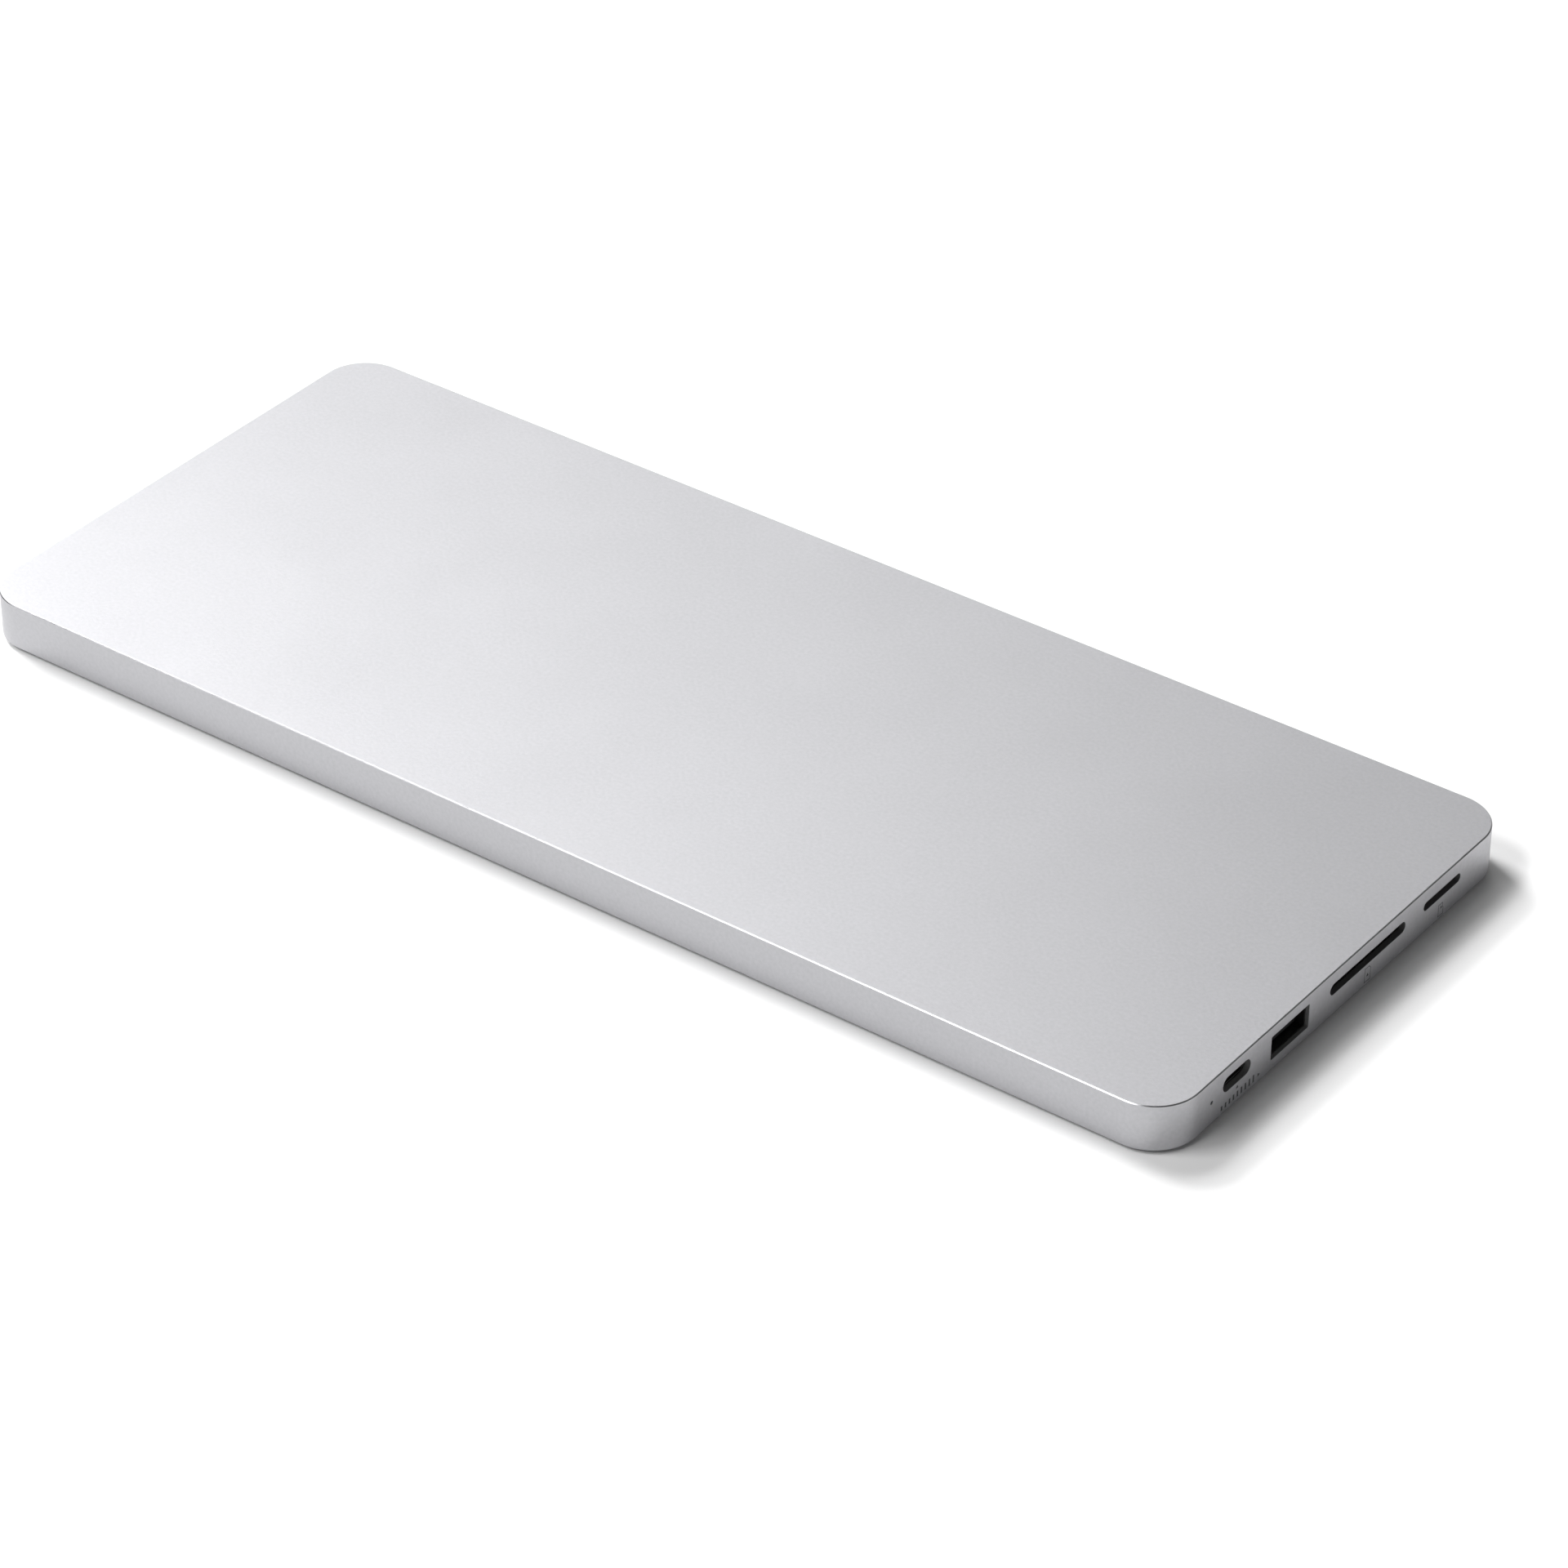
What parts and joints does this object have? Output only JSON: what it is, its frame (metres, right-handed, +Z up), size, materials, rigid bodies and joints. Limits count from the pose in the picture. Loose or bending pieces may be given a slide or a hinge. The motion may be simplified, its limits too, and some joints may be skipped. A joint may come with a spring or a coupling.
{
  "type": "usb hub",
  "caption": "Slim rounded aluminium slab with USB and memory card ports in one end wall, more ports at the rear, and a drive bay under a screwed door.",
  "frame": {"origin": "on the surface the hub stands on, under the middle of the slab", "axes": "+X to the end wall with the card slots, -Y to the plain front wall, +Z up"},
  "size_m": [0.284, 0.117, 0.0108],
  "materials": {
    "housing": "bead-blasted and clear anodised",
    "cover": "satin anodised",
    "door": "satin anodised",
    "rubber": "matt",
    "thermal_pad": "soft, matt",
    "screw": "nickel plated",
    "board": "solder mask, satin",
    "film": "matt polyester",
    "standoff": "plain",
    "plastic": "moulded, satin",
    "contact": "gold plated",
    "shell": "nickel plated",
    "light_pipe": "clear, polished",
    "led": "clear lens on a white base",
    "chip": "matt epoxy",
    "inductor": "pressed ferrite, matt",
    "crystal": "plain can",
    "tantalum": "matt epoxy",
    "chip_capacitor": "fired ceramic"
  },
  "bodies": {
    "hub": {"board_screws": "screw", "bottom_cover": "cover", "bottom_cover_screws": "screw", "card_reader_chip": "chip", "chip_capacitors": "chip_capacitor", "crystals": "crystal", "drive_bridge_chip": "chip", "foot_front_left": "rubber", "foot_front_right": "rubber", "foot_rear_left": "rubber", "foot_rear_right": "rubber", "hub_controller_chip": "chip", "inductors": "inductor", "insulation_film": "film", "light_pipe": "light_pipe", "m2_drive_screw": "screw", "m2_socket": "plastic", "m2_socket_contacts": "contact", "m2_standoff": "standoff", "main_board": "board", "micro_sd_socket_base": "plastic", "micro_sd_socket_contacts": "contact", "micro_sd_socket_cover": "shell", "power_chips": "chip", "sd_socket_base": "plastic", "sd_socket_contacts": "contact", "sd_socket_cover": "shell", "status_led": "led", "tantalum_capacitors": "tantalum", "top_housing": "housing", "usb_a_data_contacts": "contact", "usb_a_data_insulator": "plastic", "usb_a_data_shell": "shell", "usb_a_rear_left_contacts": "contact", "usb_a_rear_left_insulator": "plastic", "usb_a_rear_left_shell": "shell", "usb_a_rear_right_contacts": "contact", "usb_a_rear_right_insulator": "plastic", "usb_a_rear_right_shell": "shell", "usb_c_data_contacts": "contact", "usb_c_data_insulator": "plastic", "usb_c_data_shell": "shell", "usb_c_host_contacts": "contact", "usb_c_host_insulator": "plastic", "usb_c_host_shell": "shell"},
    "ssd_door": {"ssd_door": "door", "ssd_thermal_pad": "thermal_pad"},
    "door_screw_left": {"ssd_door_screw_left": "screw"},
    "door_screw_right": {"ssd_door_screw_right": "screw"}
  },
  "joints": [
    {"name": "ssd_door_lift_off", "type": "slide", "parent": "hub", "child": "ssd_door", "axis": [0, 0, -1], "range_m": [0, 0.012]},
    {"name": "door_screw_left_turn", "type": "hinge", "parent": "ssd_door", "child": "door_screw_left", "pos_m": [-0.0522, 0, 0.001], "axis": [0, 0, 1], "continuous": true},
    {"name": "door_screw_right_turn", "type": "hinge", "parent": "ssd_door", "child": "door_screw_right", "pos_m": [0.0522, 0, 0.001], "axis": [0, 0, 1], "continuous": true}
  ]
}
